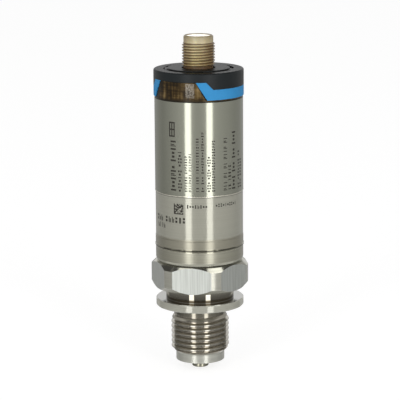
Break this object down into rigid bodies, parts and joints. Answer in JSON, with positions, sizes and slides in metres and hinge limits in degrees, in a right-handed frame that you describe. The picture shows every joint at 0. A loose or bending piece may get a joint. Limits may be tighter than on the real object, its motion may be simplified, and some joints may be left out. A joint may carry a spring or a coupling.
{
  "type": "pressure transmitter",
  "caption": "Slim steel pressure transmitter with a threaded spigot, hexagon, tube housing and a round screw plug on its cap.",
  "frame": {"origin": "on the axis, in the flat sealing face at the end of the threaded spigot's gasket stub", "axes": "+Z along the axis from the spigot to the plug; one pair of spanner flats faces -Y and +Y"},
  "size_m": [0.035, 0.0322, 0.1212],
  "materials": {
    "turned_steel": "turned and milled stainless steel, bead blasted grey-olive tone",
    "sleeve_steel": "fine turned stainless steel with a darker turned band",
    "tube_steel": "ground stainless tube, satin round the axis",
    "cell_steel": "bright stainless steel",
    "lead_metal": "gold plated",
    "bead_glass": "fused sealing glass",
    "chip_silicon": "polished silicon",
    "white_ceramic": "fired ceramic",
    "carrier_plastic": "moulded, fine matt",
    "board_laminate": "green solder mask on glass laminate",
    "chip_package": "moulded chip package",
    "capacitor_body": "ceramic capacitor body",
    "flex_film": "polyimide film",
    "amber_plastic": "translucent amber moulding",
    "seal_rubber": "moulded seal rubber",
    "spring_steel": "spring steel",
    "black_plastic": "fine textured black moulding",
    "blue_plastic": "light blue moulding",
    "filter_film": "porous film"
  },
  "bodies": {
    "root": {"process_connection": "turned_steel", "sensor_body": "sleeve_steel", "housing_tube": "tube_steel", "isolating_diaphragm": "cell_steel", "cell_body": "cell_steel", "displacement_ring": "white_ceramic", "sensor_header": "cell_steel", "glass_seals": "bead_glass", "feedthrough_pins": "lead_metal", "chip_pedestal": "bead_glass", "sensor_chip": "chip_silicon", "vent_tube": "cell_steel", "fill_ball": "cell_steel", "support_ring": "carrier_plastic", "sensor_board": "board_laminate", "board_carrier": "carrier_plastic", "main_board": "board_laminate", "signal_asic": "chip_package", "microcontroller": "chip_package", "chip_capacitors": "capacitor_body", "surge_diodes": "chip_package", "flex_cable": "flex_film", "link_header": "carrier_plastic", "link_pins": "lead_metal", "top_board": "board_laminate", "plug_body": "amber_plastic", "contact_pins": "lead_metal", "filter_membrane": "filter_film", "o_ring_upper": "seal_rubber", "o_ring_lower": "seal_rubber", "retaining_ring": "spring_steel", "accent_ring": "blue_plastic", "design_ring": "black_plastic", "cover_disc": "black_plastic"}
  },
  "joints": []
}
